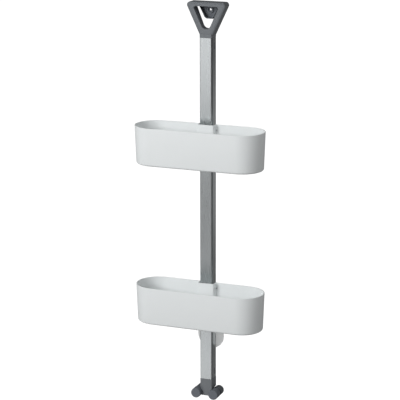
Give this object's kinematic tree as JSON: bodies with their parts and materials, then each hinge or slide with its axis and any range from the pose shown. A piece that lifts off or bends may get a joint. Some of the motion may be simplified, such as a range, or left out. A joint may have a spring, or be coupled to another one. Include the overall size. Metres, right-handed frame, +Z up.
{
  "type": "shower caddy",
  "caption": "Wall-hung shower caddy: long open baskets that slide on a slotted aluminium pole with a hook, handle, foot knobs and suction cup.",
  "frame": {"origin": "centre of the wall hook's screw hole, on the wall's surface", "axes": "+Z up along the pole, +Y into the wall, +X to the right when facing the caddy"},
  "size_m": [0.3, 0.1182, 0.9023],
  "materials": {
    "anodised_aluminium": "satin clear anodised",
    "basket_white": "satin moulded",
    "slate_plastic": "fine matte texture",
    "hook_plastic": "fine matte texture",
    "knob_plastic": "fine matte texture",
    "bumper_rubber": "matte",
    "cup_rubber": "smooth",
    "rail_plastic": "smooth",
    "catch_plastic": "smooth",
    "spring_steel": "drawn wire",
    "screw_steel": "stainless",
    "pad_rubber": "matte"
  },
  "bodies": {
    "wall_hook": {"wall_hook": "hook_plastic"},
    "caddy": {"pole": "anodised_aluminium", "head_handle": "slate_plastic", "foot_hub": "slate_plastic", "front_left_knob": "knob_plastic", "front_right_knob": "knob_plastic", "rear_left_bumper": "bumper_rubber", "rear_right_bumper": "bumper_rubber", "top_catch_spring": "spring_steel", "bottom_catch_spring": "spring_steel"},
    "upper_basket_unit": {"upper_basket": "basket_white", "upper_left_rail": "rail_plastic", "upper_right_rail": "rail_plastic", "upper_rail_screws": "screw_steel", "upper_friction_pads": "pad_rubber"},
    "lower_basket_unit": {"lower_basket": "basket_white", "lower_left_rail": "rail_plastic", "lower_right_rail": "rail_plastic", "lower_rail_screws": "screw_steel", "lower_friction_pads": "pad_rubber"},
    "suction_unit": {"cup_carrier": "rail_plastic", "suction_cup": "cup_rubber"},
    "top_left_catch_body": {"top_left_catch": "catch_plastic"},
    "top_right_catch_body": {"top_right_catch": "catch_plastic"},
    "bottom_left_catch_body": {"bottom_left_catch": "catch_plastic"},
    "bottom_right_catch_body": {"bottom_right_catch": "catch_plastic"}
  },
  "joints": [
    {"name": "lift_off", "type": "slide", "parent": "wall_hook", "child": "caddy", "axis": [0, 0, 1], "range_m": [0, 0.006]},
    {"name": "upper_basket_slide", "type": "slide", "parent": "caddy", "child": "upper_basket_unit", "axis": [0, 0, 1], "range_m": [-0.13, 0.17]},
    {"name": "lower_basket_slide", "type": "slide", "parent": "caddy", "child": "lower_basket_unit", "axis": [0, 0, 1], "range_m": [-0.14, 0.13]},
    {"name": "suction_slide", "type": "slide", "parent": "caddy", "child": "suction_unit", "axis": [0, 0, 1], "range_m": [-0.035, 0.12]},
    {"name": "top_left_catch_press", "type": "slide", "parent": "caddy", "child": "top_left_catch_body", "axis": [1, 0, 0], "range_m": [0, 0.0022], "stiffness_N_per_m": 1500, "springref_m": -0.0008, "deforming": ["top_catch_spring"]},
    {"name": "top_right_catch_press", "type": "slide", "parent": "caddy", "child": "top_right_catch_body", "axis": [-1, 0, 0], "range_m": [0, 0.0022], "stiffness_N_per_m": 1500, "springref_m": -0.0008},
    {"name": "bottom_left_catch_press", "type": "slide", "parent": "caddy", "child": "bottom_left_catch_body", "axis": [1, 0, 0], "range_m": [0, 0.0022], "stiffness_N_per_m": 1500, "springref_m": -0.0008, "deforming": ["bottom_catch_spring"]},
    {"name": "bottom_right_catch_press", "type": "slide", "parent": "caddy", "child": "bottom_right_catch_body", "axis": [-1, 0, 0], "range_m": [0, 0.0022], "stiffness_N_per_m": 1500, "springref_m": -0.0008}
  ]
}
